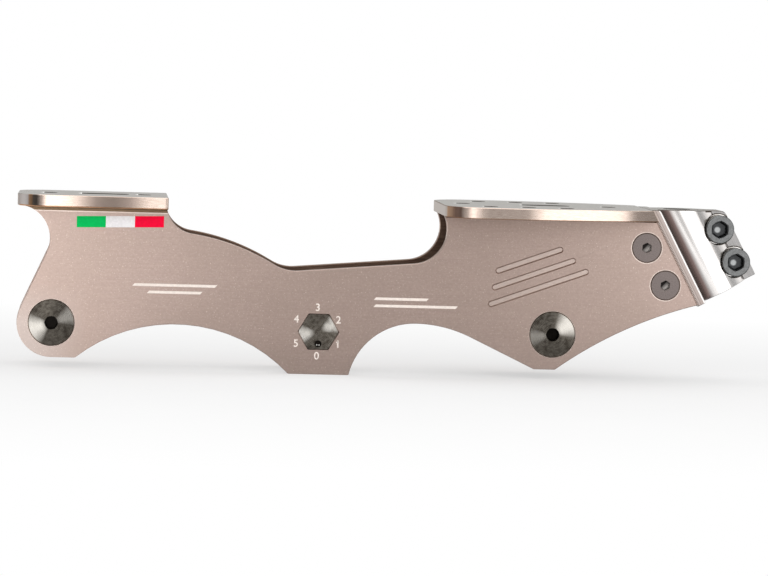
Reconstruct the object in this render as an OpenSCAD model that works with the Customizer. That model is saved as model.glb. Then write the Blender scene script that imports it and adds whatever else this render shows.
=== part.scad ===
// Three-wheel inline skate frame with a toe stop holder and an eccentric middle axle.
// Millimetres, +X to the toe, +Z up. The origin is the centre of the sole bolts, on the sole platform.

/* [Axles] */
// Distance from the rear axle to the middle axle
rear_to_middle = 90.5; // [86:0.5:98]
// Distance from the middle axle to the front axle
middle_to_front = 80; // [77:0.5:86]
// How far the middle axle's seat lies below the other two axles
middle_drop = 1; // [0:0.25:2]
// Diameter of the axle shafts that carry the wheels
axle_d = 8; // [7:0.5:9]
// Diameter of the round axle heads
axle_head_d = 15.4; // [13:0.2:17]
// Depth of the seat that takes an axle head
axle_seat_depth = 1.8; // [1.2:0.1:2.4]
// Height of the cone turned on an axle head
axle_cone_h = 0.7; // [0.2:0.1:1.2]
// Hexagon socket in the axle heads, across its flats
axle_socket = 4; // [3:0.5:5]
// Depth of the hexagon socket in the axle heads
axle_socket_depth = 2.2; // [1.5:0.1:2.4]
// Diameter of the thread inside the axle shafts
axle_thread_d = 5; // [4:0.5:5.5]
// Length of the thread on the axle screws
axle_thread_len = 12; // [8:0.5:14]

/* [Eccentric middle axle] */
// Hexagonal block of the middle axle, across its flats
hex_flats = 12; // [11.5:0.25:14]
// Diameter to which the hexagon's corners are turned down
hex_corner_d = 13.4; // [13:0.1:16]
// Distance from the hexagon's centre to the axle shaft's centre
eccentricity = 1.5; // [0.5:0.25:1.5]
// Depth of the shallow cone turned in the hexagon's face
hex_dish = 0.5; // [0.2:0.1:0.8]
// Diameter of the index dimple on the hexagon's face
dimple_d = 2.2; // [1.5:0.1:2.6]
// Depth of the index dimple
dimple_depth = 0.8; // [0.4:0.1:1.2]
// Distance from the hexagon's centre to the index dimple
dimple_r = 4.1; // [3.6:0.1:4.4]
// Diameter of the middle axle screw's head
insert_head_d = 8; // [7:0.25:8.25]
// Height of the middle axle screw's head
insert_head_h = 2; // [1.5:0.1:2.4]
// Hexagon socket in the middle axle screw, across its flats
insert_socket = 3; // [2.5:0.5:4]
// Length of the thread on the middle axle screw
insert_thread_len = 11; // [8:0.5:14]

/* [Frame section] */
// Width of the channel between the walls, where the wheels run
channel_w = 24.5; // [23:0.25:27]
// Thickness of each wall
wall_t = 3.75; // [3.25:0.25:5]
// Height of the platforms' top faces above the rear and front axles
deck_h = 43.4; // [42:0.2:48]
// Radius of the fillet under the platforms
deck_fillet = 1.5; // [1:0.25:3]

/* [Heel platform] */
// Heel platform's reach behind the rear axle
heel_rear = 12.3; // [11:0.1:14]
// Heel platform's reach ahead of the rear axle
heel_front = 38.5; // [36:0.1:44]
// Heel platform's overhang past the walls at its front end
heel_overhang = 0.5; // [0.3:0.1:2]
// Width of the heel platform
heel_w = 46.6; // [42:0.2:52]
// Thickness of the heel platform
heel_t = 4; // [3:0.25:5]
// Radius of the heel platform's rear corners
heel_corner = 11; // [6:0.5:14]
// Radius of the heel platform's front corners
heel_front_corner = 1; // [0.5:0.25:4]

/* [Sole platform] */
// Sole platform's reach behind the front axle
sole_rear = 38.6; // [36:0.1:42]
// Sole platform's reach ahead of the front axle, on its top face
sole_front = 32.4; // [30:0.2:36]
// Width of the sole platform where it is widest
sole_w = 72; // [62:0.5:76]
// Width of the sole platform at its front end
sole_front_w = 43; // [38:0.5:50]
// Distance from the front axle back to where the sole platform starts to narrow
sole_taper_back = 14; // [8:0.5:18]
// Outward bow of the sole platform's narrowing sides
sole_bow = 3.2; // [0.5:0.1:4]
// Thickness of the sole platform
sole_t = 3.8; // [3:0.1:5]
// Radius of the sole platform's rear corners
sole_corner = 14; // [8:0.5:16]

/* [Boot bolt holes] */
// Diameter of the boot bolt holes
bolt_hole_d = 5.5; // [4.5:0.1:6.5]
// Distance between neighbouring sole bolts along the frame
sole_pitch_x = 13; // [11:0.5:14]
// Distance between the two rows of sole bolts
sole_pitch_y = 44; // [42:0.5:48]
// Distance from the front axle back to the middle pair of sole bolts
sole_bolts_back = 10.5; // [8:0.5:12]
// Distance from the sole bolts' centre back to the rear hole on the centre line
sole_rear_hole = 20.5; // [18:0.5:22]
// Distance from the sole bolts' centre forward to the front hole on the centre line
sole_front_hole = 30; // [26:0.5:32]
// Length of the adjusting slots, end to end
slot_len = 17.5; // [12:0.5:20]
// Width of the adjusting slots
slot_w = 7; // [5:0.25:8]
// Distance from the sole bolts' centre forward to the sole slot's centre
sole_slot_ahead = 8; // [6:0.5:10]
// Distance between the two heel bolts
heel_pitch = 32; // [30:0.5:36]
// Distance from the rear axle forward to the heel bolts' centre
heel_bolts_ahead = 14; // [12:0.5:16]
// Distance from the heel bolts' centre forward to the heel slot's centre
heel_slot_ahead = 2.5; // [2:0.25:3]

/* [Side outline] */
// Radius of the round end of the walls about the rear axle
boss_r = 11.7; // [10.5:0.1:13]
// Lean of the walls' rear edge, in degrees
rear_lean = 25; // [20:0.5:30]
// Radius of the hollow behind the heel, under the platform
heel_hollow_r = 11.2; // [9:0.2:13]
// Rear foot's reach ahead of the rear axle
rear_foot_reach = 8.3; // [6:0.1:11]
// Distance from the rear axle to the rear arch's crown
rear_arch_x = 42.1; // [38:0.1:48]
// Height of the rear arch's crown above the axles
rear_arch_h = 0.4; // [-2:0.1:3]
// Depth of the middle foot below the middle axle's seat
middle_foot_drop = 14.5; // [12:0.1:16]
// Middle foot's reach behind the middle axle
middle_foot_back = 10; // [8:0.1:12]
// Distance from the middle axle to the front arch's crown
front_arch_x = 33.1; // [30:0.1:35]
// Height of the front arch's crown above the axles
front_arch_h = 2.6; // [0:0.1:5]
// Radius of the front arch beside the middle foot
front_arch_r = 23; // [20:0.5:25]
// Radius of the front arch beside the front foot
front_arch_out_r = 44; // [38:1:50]
// Slope at which the front arch runs down to the front foot, in degrees
front_arch_slope = 25.5; // [23:0.5:28]
// Depth of the front foot below the front axle
front_foot_drop = 12; // [10:0.1:13]
// Front foot's reach behind the front axle
front_foot_back = 6.1; // [4:0.1:9]
// Front foot's reach ahead of the front axle
front_foot_ahead = 1.2; // [0:0.1:4]
// Upward bow of the walls' edge from the front foot to the toe
toe_bow = 2.9; // [1:0.1:4]
// Length of the walls' front end face, along the toe stop's stem
end_face_len = 36.7; // [34:0.1:38]
// Radius of the hollow behind the sole platform
sole_hollow_r = 11.8; // [10:0.2:13]
// Distance from the sole platform's rear end back to that hollow's centre
sole_hollow_back = 10.2; // [9:0.1:11]
// Distance from the sole platform's underside down to that hollow's centre
sole_hollow_drop = 4.9; // [4:0.1:6]
// Slope of the walls' top edge from the valley up to the sole, in degrees
top_slope = 5.5; // [3:0.5:7]
// Radius of the valley in the walls' top edge
valley_r = 14; // [11:0.5:20]
// Height of the valley's floor above the axles
valley_h = 19.5; // [18:0.1:21]
// Distance from the middle axle back to the valley's floor
valley_back = 8.4; // [6:0.1:10]
// Slope of the walls' top edge from the crest down to the valley, in degrees
crest_slope = 28.5; // [26:0.5:30]
// Radius of the crest in the walls' top edge
crest_r = 76; // [72:1:82]
// Height of the crest above the axles
crest_h = 31.9; // [31:0.1:33]
// Distance from the rear axle to the crest
crest_x = 36.5; // [35:0.1:38]
// Radius of the hollow ahead of the heel, under the platform
heel_neck_r = 10.4; // [8:0.1:12]

/* [Side grooves] */
// Length of the middle groove in the near wall
groove_len = 30; // [20:1:34]
// How much shorter the groove above it is, and how much longer the one below
groove_step = 6; // [0:1:8]
// Width of the grooves
groove_w = 1.8; // [1:0.1:3]
// Depth of the grooves
groove_depth = 0.4; // [0.2:0.1:0.8]
// Distance between the grooves
groove_pitch = 5; // [3:0.25:6]
// Slope of the grooves, in degrees
groove_slope = 20; // [0:1:30]
// Distance from the front axle back to the grooves' centre
groove_back = 7; // [4:0.5:12]
// Height of the grooves' centre above the axles
groove_h = 20.5; // [18:0.5:23]

/* [Toe stop holder] */
// Lean of the toe stop's stem from the vertical, in degrees
stem_lean = 28; // [24:0.5:30]
// Diameter of the toe stop stem's bore
stem_bore_d = 8.1; // [6.1:0.1:9.1]
// Distance from the frame's end face to the stem's axis
stem_ahead = 10; // [9:0.1:11]
// Thickness of metal round the stem's bore
clamp_wall = 7.5; // [6:0.25:8]
// Length of the holder along the stem, from the sole platform's corner
holder_len = 37; // [34:0.2:38]
// Thickness of the holder's flange
flange_t = 2.9; // [2:0.1:4]
// Length of the tongue between the walls
tongue_len = 13; // [12:0.25:14]
// Distance down the stem from the sole platform's corner to the tongue
tongue_top = 6; // [5:0.25:6.5]
// Height of the tongue along the stem
tongue_h = 27.5; // [25:0.25:29]
// Reach of the clamp ears ahead of the frame's end face
ear_reach = 23.9; // [23:0.1:26]
// Width across the outer faces of the clamp ears
ear_w = 12.4; // [11:0.2:14]
// Radius of the ears' upper front corner
ear_corner_r = 2.5; // [1:0.25:4]
// Width of the slit between the clamp ears
slit_w = 2; // [1.6:0.1:3]

/* [Screws] */
// Diameter of the countersunk screws' thread
holder_thread_d = 5; // [4:0.5:5]
// Diameter of the countersunk screws' heads
holder_head_d = 10.2; // [9:0.1:11]
// Length of the countersunk screws
holder_screw_len = 13; // [11:0.5:14]
// Hexagon socket in the countersunk screws, across its flats
holder_socket = 3; // [2.5:0.5:4]
// Depth of the hexagon socket in the countersunk screws
holder_socket_depth = 2; // [1.5:0.1:2.4]
// Distance from the frame's end face back to the countersunk screws
holder_screw_back = 6.9; // [6:0.1:7]
// Distance down the stem from the sole platform's corner to the upper countersunk screws
holder_screw_top = 11; // [10:0.2:12]
// Distance between the upper and the lower countersunk screws
holder_screw_pitch = 14.4; // [12:0.1:14.5]
// Diameter of the clamp screws' thread
clamp_thread_d = 6; // [5:0.5:6]
// Diameter of the clamp screws' heads
clamp_head_d = 9.8; // [9:0.1:10.4]
// Height of the clamp screws' heads
clamp_head_h = 6; // [5:0.25:7]
// Hexagon socket in the clamp screws, across its flats
clamp_socket = 5; // [4:0.5:5.5]
// Depth of the hexagon socket in the clamp screws
clamp_socket_depth = 3; // [2:0.25:4]
// Distance from the frame's end face to the clamp screws' axes
clamp_screw_ahead = 19; // [18:0.1:19.5]
// Distance down the stem from the sole platform's corner to the upper clamp screw
clamp_screw_top = 17.2; // [16:0.2:18]
// Distance between the clamp screws
clamp_screw_pitch = 12.6; // [11.8:0.1:13.5]
// Depth of the flat seats under the clamp screws' heads
clamp_seat_depth = 0.8; // [0.4:0.1:1.2]
// Width of the flat seats beyond the clamp screws' heads
clamp_seat_rim = 0.4; // [0.3:0.1:1]

/* [Clearances] */
// Gap round the axle shafts in the walls
shaft_gap = 0.05; // [0.02:0.01:0.1]
// Gap round a screw or axle head in its seat
seat_gap = 0.1; // [0.05:0.05:0.3]
// Gap beside the hexagonal blocks
hex_gap = 0.05; // [0.03:0.01:0.1]
// Gap round a screw in its thread
thread_gap = 0.05; // [0.03:0.01:0.1]
// Gap round a screw in a plain hole
screw_gap = 0.25; // [0.15:0.05:0.4]
// Gap at the end of a shaft or a screw
end_gap = 0.3; // [0.2:0.1:0.6]
// Gap on each side of the tongue
tongue_gap = 0.05; // [0.03:0.01:0.1]
// Radius kept free about the front axle for its wheel
wheel_room = 39; // [37:0.5:39]

/* [Hidden] */

$fn = 64;
// Steps in each arc of an outline
arc_steps = 16;
// Sides of a hexagon
hex_sides = 6;
// Overlap of shapes that are joined, and overrun of cuts
over = 1;
// How far a hollow's arc reaches into what it runs out on
run_out = 0.2;

half_channel = channel_w / 2;
half_w = half_channel + wall_t;
middle_x = rear_to_middle;
front_x = middle_x + middle_to_front;
heel_under = deck_h - heel_t;
sole_under = deck_h - sole_t;
joint_x = front_x + sole_front;
sole_bolts_x = front_x - sole_bolts_back;
axle_seat_y = half_w - axle_seat_depth;
clamp_r = stem_bore_d / 2 + clamp_wall;
clamp_seat_y = ear_w / 2 - clamp_seat_depth;
// Long enough to cut through the whole frame
through = 4 * deck_h;

champagne = [0.66, 0.58, 0.53];
polished = [0.80, 0.76, 0.73];
gunmetal = [0.34, 0.33, 0.31];
black_steel = [0.25, 0.25, 0.26];

// Points on an arc about a centre, from one angle to another
function arc(centre, r, from, to) = [
  for (i = [0:arc_steps])
    let (a = from + (to - from) * i / arc_steps)
    centre + r * [cos(a), sin(a)]
];

// Centre of the circle through three points
function circle_centre(a, b, c) =
  let (
    d = 2 * (a[0] * (b[1] - c[1]) + b[0] * (c[1] - a[1]) + c[0] * (a[1] - b[1])),
    x = (a * a) * (b[1] - c[1]) + (b * b) * (c[1] - a[1]) + (c * c) * (a[1] - b[1]),
    y = (a * a) * (c[0] - b[0]) + (b * b) * (a[0] - c[0]) + (c * c) * (b[0] - a[0])
  )
  [x, y] / d;

// Points on the arc that rises from a, through b, and falls to c
function arch(a, b, c) =
  let (m = circle_centre(a, b, c), from = a - m, to = c - m)
  arc(m, norm(from), atan2(from[1], from[0]), atan2(to[1], to[0]));

// A point of the side view, given ahead of the frame's end face and down along the stem
function stem_point(ahead, down) = [
  joint_x + ahead * cos(stem_lean) + down * sin(stem_lean),
  deck_h + ahead * sin(stem_lean) - down * cos(stem_lean)
];

// Walls' edge from the heel platform down to the rear foot
function rear_edge() =
  let (
    hollow = [-heel_rear, heel_under + run_out - heel_hollow_r],
    top_angle = asin(1 - run_out / heel_hollow_r),
    corner_x = hollow[0] + heel_hollow_r * cos(top_angle)
  )
  concat(
    [[corner_x, heel_under + heel_t / 2]],
    arc(hollow, heel_hollow_r, top_angle, -rear_lean),
    arc([0, 0], boss_r, 180 - rear_lean, 270)
  );

// Walls' edge along the feet and the arches, up to the toe
function bottom_edge() =
  let (
    middle_foot_z = -middle_drop - middle_foot_drop,
    rear_foot = [rear_foot_reach, -boss_r],
    middle_foot = [middle_x - middle_foot_back, middle_foot_z],
    crown_x = middle_x + front_arch_x,
    near_m = [crown_x, front_arch_h - front_arch_r],
    out_m = [crown_x, front_arch_h - front_arch_out_r],
    foot_angle = asin((middle_foot_z - near_m[1]) / front_arch_r),
    toe_foot = [front_x + front_foot_ahead, -front_foot_drop],
    toe_end = stem_point(over, end_face_len)
  )
  concat(
    arch(rear_foot, [rear_arch_x, rear_arch_h], middle_foot),
    arc(near_m, front_arch_r, 180 - foot_angle, 90),
    arc(out_m, front_arch_out_r, 90, 90 - front_arch_slope),
    [[front_x - front_foot_back, -front_foot_drop]],
    arch(toe_foot, (toe_foot + toe_end) / 2 + [0, toe_bow], toe_end)
  );

// Walls' edge from the toe back along the top to the heel platform
function top_edge() =
  let (
    sole_mid = deck_h - sole_t / 2,
    hollow = [front_x - sole_rear - sole_hollow_back, sole_under - sole_hollow_drop],
    hollow_angle = asin(sole_hollow_drop / sole_hollow_r),
    valley_m = [middle_x - valley_back, valley_h + valley_r],
    heel_end = heel_front - heel_overhang,
    heel_mid = deck_h - heel_t / 2,
    crest_m = [crest_x, crest_h - crest_r],
    neck_ahead = heel_end + heel_neck_r - crest_x,
    neck_m = crest_m + [neck_ahead, sqrt(pow(crest_r + heel_neck_r, 2) - pow(neck_ahead, 2))],
    touch = acos(neck_ahead / (crest_r + heel_neck_r)),
    neck_end = 180 + asin(max(0, neck_m[1] - heel_mid) / heel_neck_r)
  )
  concat(
    [stem_point(over, sole_t / 2), [hollow[0] + sole_hollow_r * cos(hollow_angle), sole_mid]],
    arc(hollow, sole_hollow_r, hollow_angle, top_slope - 90),
    arc(valley_m, valley_r, top_slope - 90, -90 - crest_slope),
    arc(crest_m, crest_r, 90 - crest_slope, touch),
    arc(neck_m, heel_neck_r, touch + 180, neck_end),
    [[heel_end, heel_mid]]
  );

// Extrudes a side view from one Y to another
module from_side(y_from, y_to) {
  translate([0, y_to, 0])
    rotate([90, 0, 0])
      linear_extrude(y_to - y_from)
        children();
}

// Places children along the stem, their +X ahead of the frame's end face and +Z up the stem
module on_stem() {
  translate([joint_x, 0, deck_h])
    rotate([0, -stem_lean, 0])
      children();
}

// Turns children that are built along +Z to look out of the near side, -1, or the far side, 1
module facing(side) {
  rotate([-90 * side, 0, 0])
    children();
}

// Moves the finished pieces from the rear axle to the sole bolts
module placed() {
  translate([-sole_bolts_x, 0, -deck_h])
    children();
}

module hexagon(flats, h) {
  cylinder(d = flats / cos(180 / hex_sides), h = h, $fn = hex_sides);
}

module wall_outline() {
  polygon(concat(rear_edge(), bottom_edge(), top_edge()));
}

module heel_outline() {
  rear_x = heel_corner - heel_rear;
  front_x = heel_front - heel_front_corner;
  rear_y = heel_w / 2 - heel_corner;
  front_y = heel_w / 2 - heel_front_corner;
  polygon(concat(
    arc([rear_x, -rear_y], heel_corner, 180, 270),
    arc([front_x, -front_y], heel_front_corner, 270, 360),
    arc([front_x, front_y], heel_front_corner, 0, 90),
    arc([rear_x, rear_y], heel_corner, 90, 180)
  ));
}

module sole_outline() {
  rear_x = front_x - sole_rear + sole_corner;
  rear_y = sole_w / 2 - sole_corner;
  taper = [front_x - sole_taper_back, sole_w / 2];
  toe = [joint_x + sole_t, sole_front_w / 2];
  side = arch(taper, (taper + toe) / 2 + [0, sole_bow], toe);
  half = concat(arc([rear_x, rear_y], sole_corner, 180, 90), side);
  back = [for (i = [len(half) - 1:-1:0]) [half[i][0], -half[i][1]]];
  polygon(concat(half, back));
}

// Fillet along both walls, under a platform, from one X to another
module platform_fillet(under, x_from, x_to) {
  intersection() {
    from_side(-half_w - deck_fillet, half_w + deck_fillet)
      wall_outline();
    for (side = [-1, 1])
      difference() {
        translate([x_from, side * (half_w + deck_fillet / 2), under - deck_fillet])
          translate([0, -(deck_fillet + over) / 2, 0])
            cube([x_to - x_from, deck_fillet + over, deck_fillet + over]);
        translate([x_from - over, side * (half_w + deck_fillet - run_out), under - deck_fillet + run_out])
          rotate([0, 90, 0])
            cylinder(r = deck_fillet, h = x_to - x_from + 2 * over);
      }
  }
}

// Outline with straight sides and round ends
module slot_outline(len, w) {
  reach = (len - w) / 2;
  polygon(concat(
    arc([reach, 0], w / 2, -90, 90),
    arc([-reach, 0], w / 2, 90, 270)
  ));
}

module slot(x) {
  translate([x, 0, deck_h / 2])
    linear_extrude(deck_h)
      slot_outline(slot_len, slot_w);
}

module bolt_hole(x, y) {
  translate([x, y, deck_h / 2])
    cylinder(d = bolt_hole_d, h = deck_h);
}

module bolt_holes() {
  for (i = [-1:1], side = [-1, 1])
    bolt_hole(sole_bolts_x + i * sole_pitch_x, side * sole_pitch_y / 2);
  bolt_hole(sole_bolts_x - sole_rear_hole, 0);
  bolt_hole(sole_bolts_x + sole_front_hole, 0);
  slot(sole_bolts_x + sole_slot_ahead);
  for (side = [-1, 1])
    bolt_hole(heel_bolts_ahead + side * heel_pitch / 2, 0);
  slot(heel_bolts_ahead + heel_slot_ahead);
}

// Plain decoration in the near wall
module side_grooves() {
  for (i = [-1:1])
    from_side(-half_w - over, -half_w + groove_depth)
      translate([front_x - groove_back, groove_h])
        rotate(groove_slope)
          translate([0, i * groove_pitch])
            slot_outline(groove_len - i * groove_step, groove_w);
}

// Shaft bore and head seats of a round axle
module axle_cuts(x) {
  translate([x, 0, 0]) {
    facing(1)
      translate([0, 0, -through / 2])
        cylinder(d = axle_d + 2 * shaft_gap, h = through);
    for (side = [-1, 1])
      facing(side)
        translate([0, 0, axle_seat_y])
          cylinder(d = axle_head_d + 2 * seat_gap, h = through);
  }
}

module eccentric_cut() {
  translate([middle_x, 0, -middle_drop])
    facing(1)
      translate([0, 0, -through / 2])
        hexagon(hex_flats + 2 * hex_gap, through);
}

// Places children at a countersunk screw's head, +Z out of the wall; row 0 is the upper one
module at_holder_screw(side, row) {
  on_stem()
    translate([-holder_screw_back, 0, -holder_screw_top - row * holder_screw_pitch])
      facing(side)
        translate([0, 0, half_w])
          children();
}

// Countersunk cone and shank, built down from the head's face
module countersunk(gap, shank_gap, len) {
  cone_h = (holder_head_d - holder_thread_d) / 2;
  translate([0, 0, -cone_h])
    cylinder(d1 = holder_thread_d + 2 * gap, d2 = holder_head_d + 2 * gap, h = cone_h);
  translate([0, 0, -len])
    cylinder(d = holder_thread_d + 2 * shank_gap, h = len);
}

module frame_body() {
  color(champagne)
    placed()
      difference() {
        union() {
          for (side = [-1, 1])
            from_side(side < 0 ? -half_w : half_channel, side < 0 ? -half_channel : half_w)
              wall_outline();
          translate([0, 0, heel_under])
            linear_extrude(heel_t)
              heel_outline();
          translate([0, 0, sole_under])
            linear_extrude(sole_t)
              sole_outline();
          platform_fillet(heel_under, -heel_rear, heel_front);
          platform_fillet(sole_under, front_x - sole_rear, joint_x + sole_t);
        }
        on_stem()
          translate([0, -through / 2, -through / 2])
            cube(through);
        bolt_holes();
        side_grooves();
        axle_cuts(0);
        axle_cuts(front_x);
        eccentric_cut();
        for (side = [-1, 1], row = [0, 1])
          at_holder_screw(side, row)
            countersunk(thread_gap, screw_gap, wall_t + over);
      }
}

// Block of the holder with its length along the stem, from the bottom face up past the sole platform
module holder_bar(x_from, x_to, w) {
  translate([x_from, -w / 2, -holder_len])
    cube([x_to - x_from, w, 2 * holder_len]);
}

module holder_body() {
  holder_bar(0, flange_t, 2 * half_w);
  holder_bar(stem_ahead, ear_reach, ear_w);
  intersection() {
    translate([stem_ahead, 0, -holder_len])
      cylinder(r = clamp_r, h = 2 * holder_len);
    holder_bar(0, ear_reach, 2 * half_w);
  }
  tongue_w = channel_w - 2 * tongue_gap;
  translate([-tongue_len, -tongue_w / 2, -tongue_top - tongue_h])
    cube([tongue_len + over, tongue_w, tongue_h]);
}

// What the rounding of the ears' upper front corner takes away
module ear_corner_cut() {
  tangent = ear_corner_r * tan((90 - stem_lean) / 2);
  top_x = joint_x + ear_reach / cos(stem_lean);
  round_m = [top_x - tangent, deck_h - ear_corner_r];
  from_side(-half_w, half_w)
    difference() {
      polygon([
        round_m,
        round_m + ear_corner_r * [cos(stem_lean), sin(stem_lean)],
        [top_x, deck_h] + over * [1, 1],
        round_m + [0, ear_corner_r + over]
      ]);
      translate(round_m)
        circle(r = ear_corner_r);
    }
}

// Places children at a clamp screw's seat, +Z out of the near side; row 0 is the upper one
module at_clamp_screw(row) {
  on_stem()
    translate([clamp_screw_ahead, -clamp_seat_y, -clamp_screw_top - row * clamp_screw_pitch])
      facing(-1)
        children();
}

module clamp_screw_cuts(row) {
  at_clamp_screw(row) {
    cylinder(d = clamp_head_d + 2 * clamp_seat_rim, h = half_w);
    translate([0, 0, -clamp_seat_y])
      cylinder(d = clamp_thread_d + 2 * screw_gap, h = clamp_seat_y + over);
    translate([0, 0, -2 * ear_w])
      cylinder(d = clamp_thread_d + 2 * thread_gap, h = 2 * ear_w);
  }
}

module toe_stop_holder() {
  color(polished)
    placed()
      difference() {
        on_stem()
          holder_body();
        translate([joint_x - through / 2, -through / 2, deck_h])
          cube(through);
        ear_corner_cut();
        on_stem() {
          translate([stem_ahead, 0, -through / 2])
            cylinder(d = stem_bore_d, h = through);
          translate([stem_ahead, -slit_w / 2, -through / 2])
            cube([through, slit_w, through]);
        }
        translate([front_x, 0, 0])
          facing(1)
            translate([0, 0, -through / 2])
              cylinder(r = wheel_room, h = through);
        for (row = [0, 1]) {
          clamp_screw_cuts(row);
          for (side = [-1, 1])
            at_holder_screw(side, row)
              countersunk(thread_gap, thread_gap, holder_screw_len + end_gap);
        }
      }
}

module holder_screw(side, row) {
  color(gunmetal)
    placed()
      at_holder_screw(side, row)
        difference() {
          countersunk(0, 0, holder_screw_len);
          translate([0, 0, -holder_socket_depth])
            hexagon(holder_socket, holder_socket_depth + over);
        }
}

module holder_screw_near_upper() {
  holder_screw(-1, 0);
}

module holder_screw_near_lower() {
  holder_screw(-1, 1);
}

module holder_screw_far_upper() {
  holder_screw(1, 0);
}

module holder_screw_far_lower() {
  holder_screw(1, 1);
}

module clamp_screw(row) {
  shank = clamp_seat_y + ear_w / 2 - end_gap;
  color(black_steel)
    placed()
      at_clamp_screw(row)
        difference() {
          union() {
            cylinder(d = clamp_head_d, h = clamp_head_h);
            translate([0, 0, -shank])
              cylinder(d = clamp_thread_d, h = shank + over);
          }
          translate([0, 0, clamp_head_h - clamp_socket_depth])
            hexagon(clamp_socket, clamp_socket_depth + over);
        }
}

module clamp_screw_upper() {
  clamp_screw(0);
}

module clamp_screw_lower() {
  clamp_screw(1);
}

// Axle head with its turned cone and socket, on a shaft; the head's seat is at Z = 0
module axle_part(shaft_d, shaft) {
  head_r = axle_head_d / 2;
  socket_r = axle_socket / 2 / cos(180 / hex_sides);
  top = axle_seat_depth + axle_cone_h;
  difference() {
    union() {
      rotate_extrude()
        polygon([[0, 0], [head_r, 0], [head_r, axle_seat_depth], [socket_r, top], [0, top]]);
      translate([0, 0, -shaft])
        cylinder(d = shaft_d, h = shaft + over);
    }
    translate([0, 0, top - axle_socket_depth])
      hexagon(axle_socket, axle_socket_depth + over);
  }
}

// Places children at an axle head's seat in one wall, +Z out of it
module at_axle_seat(x, side) {
  placed()
    translate([x, 0, 0])
      facing(side)
        translate([0, 0, axle_seat_y])
          children();
}

// Hollow axle shaft with its head on the near side
module axle_sleeve(x) {
  shaft = 2 * axle_seat_y - end_gap;
  color(gunmetal)
    at_axle_seat(x, -1)
      difference() {
        axle_part(axle_d, shaft);
        translate([0, 0, -shaft - over])
          cylinder(d = axle_thread_d + 2 * thread_gap, h = axle_thread_len + over);
      }
}

// Screw with the same head, on the far side
module axle_screw(x) {
  color(gunmetal)
    at_axle_seat(x, 1)
      axle_part(axle_thread_d, axle_thread_len);
}

module rear_axle_sleeve() {
  axle_sleeve(0);
}

module rear_axle_screw() {
  axle_screw(0);
}

module front_axle_sleeve() {
  axle_sleeve(front_x);
}

module front_axle_screw() {
  axle_screw(front_x);
}

// Hexagonal block with its corners turned down, its inner face at Z = 0
module hex_block() {
  intersection() {
    hexagon(hex_flats, wall_t);
    cylinder(d = hex_corner_d, h = wall_t);
  }
}

// Places children at the eccentric seat in one wall, +Z out of it
module at_eccentric(side) {
  placed()
    translate([middle_x, 0, -middle_drop])
      facing(side)
        translate([0, 0, half_channel])
          children();
}

module middle_axle() {
  shaft = channel_w - end_gap;
  color(gunmetal)
    at_eccentric(-1)
      difference() {
        union() {
          hex_block();
          translate([0, -eccentricity, -shaft])
            cylinder(d = axle_d, h = shaft + over);
        }
        translate([0, 0, wall_t - hex_dish])
          cylinder(d1 = 0, d2 = hex_corner_d, h = hex_dish);
        translate([0, -dimple_r, wall_t - dimple_depth])
          cylinder(d = dimple_d, h = dimple_depth + over);
        translate([0, -eccentricity, -shaft - over])
          cylinder(d = axle_thread_d + 2 * thread_gap, h = insert_thread_len + over);
      }
}

module middle_axle_insert() {
  color(gunmetal)
    at_eccentric(1)
      difference() {
        hex_block();
        translate([0, eccentricity, wall_t - insert_head_h])
          cylinder(d = insert_head_d + 2 * seat_gap, h = insert_head_h + over);
        translate([0, eccentricity, -over])
          cylinder(d = axle_thread_d + 2 * screw_gap, h = wall_t + over);
      }
}

module middle_axle_screw() {
  color(black_steel)
    at_eccentric(1)
      translate([0, eccentricity, wall_t - insert_head_h])
        difference() {
          union() {
            cylinder(d = insert_head_d, h = insert_head_h);
            translate([0, 0, -insert_thread_len])
              cylinder(d = axle_thread_d, h = insert_thread_len + over);
          }
          translate([0, 0, insert_head_h / 2])
            hexagon(insert_socket, insert_head_h);
        }
}

frame_body();
toe_stop_holder();
holder_screw_near_upper();
holder_screw_near_lower();
holder_screw_far_upper();
holder_screw_far_lower();
clamp_screw_upper();
clamp_screw_lower();
rear_axle_sleeve();
rear_axle_screw();
front_axle_sleeve();
front_axle_screw();
middle_axle();
middle_axle_insert();
middle_axle_screw();
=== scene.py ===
"""Inline skate frame: finishes, printed marks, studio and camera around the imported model."""
import math
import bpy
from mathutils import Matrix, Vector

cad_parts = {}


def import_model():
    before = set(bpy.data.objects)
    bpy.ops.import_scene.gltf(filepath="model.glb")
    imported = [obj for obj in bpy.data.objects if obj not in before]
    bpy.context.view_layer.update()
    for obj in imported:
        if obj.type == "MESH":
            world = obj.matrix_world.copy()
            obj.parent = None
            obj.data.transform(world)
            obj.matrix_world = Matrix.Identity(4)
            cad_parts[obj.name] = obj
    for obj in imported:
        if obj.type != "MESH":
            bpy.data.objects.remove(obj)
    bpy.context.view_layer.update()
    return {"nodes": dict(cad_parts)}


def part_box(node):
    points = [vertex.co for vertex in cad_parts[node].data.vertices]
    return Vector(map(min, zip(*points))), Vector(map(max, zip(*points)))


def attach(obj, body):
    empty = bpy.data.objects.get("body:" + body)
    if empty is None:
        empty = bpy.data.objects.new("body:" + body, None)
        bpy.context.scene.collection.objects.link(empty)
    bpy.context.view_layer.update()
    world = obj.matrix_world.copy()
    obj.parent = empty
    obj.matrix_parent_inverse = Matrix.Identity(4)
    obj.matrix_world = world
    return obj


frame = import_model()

from types import SimpleNamespace

import bpy
from mathutils import Matrix, Vector

nodes = frame["nodes"]
MM = 0.001

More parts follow.
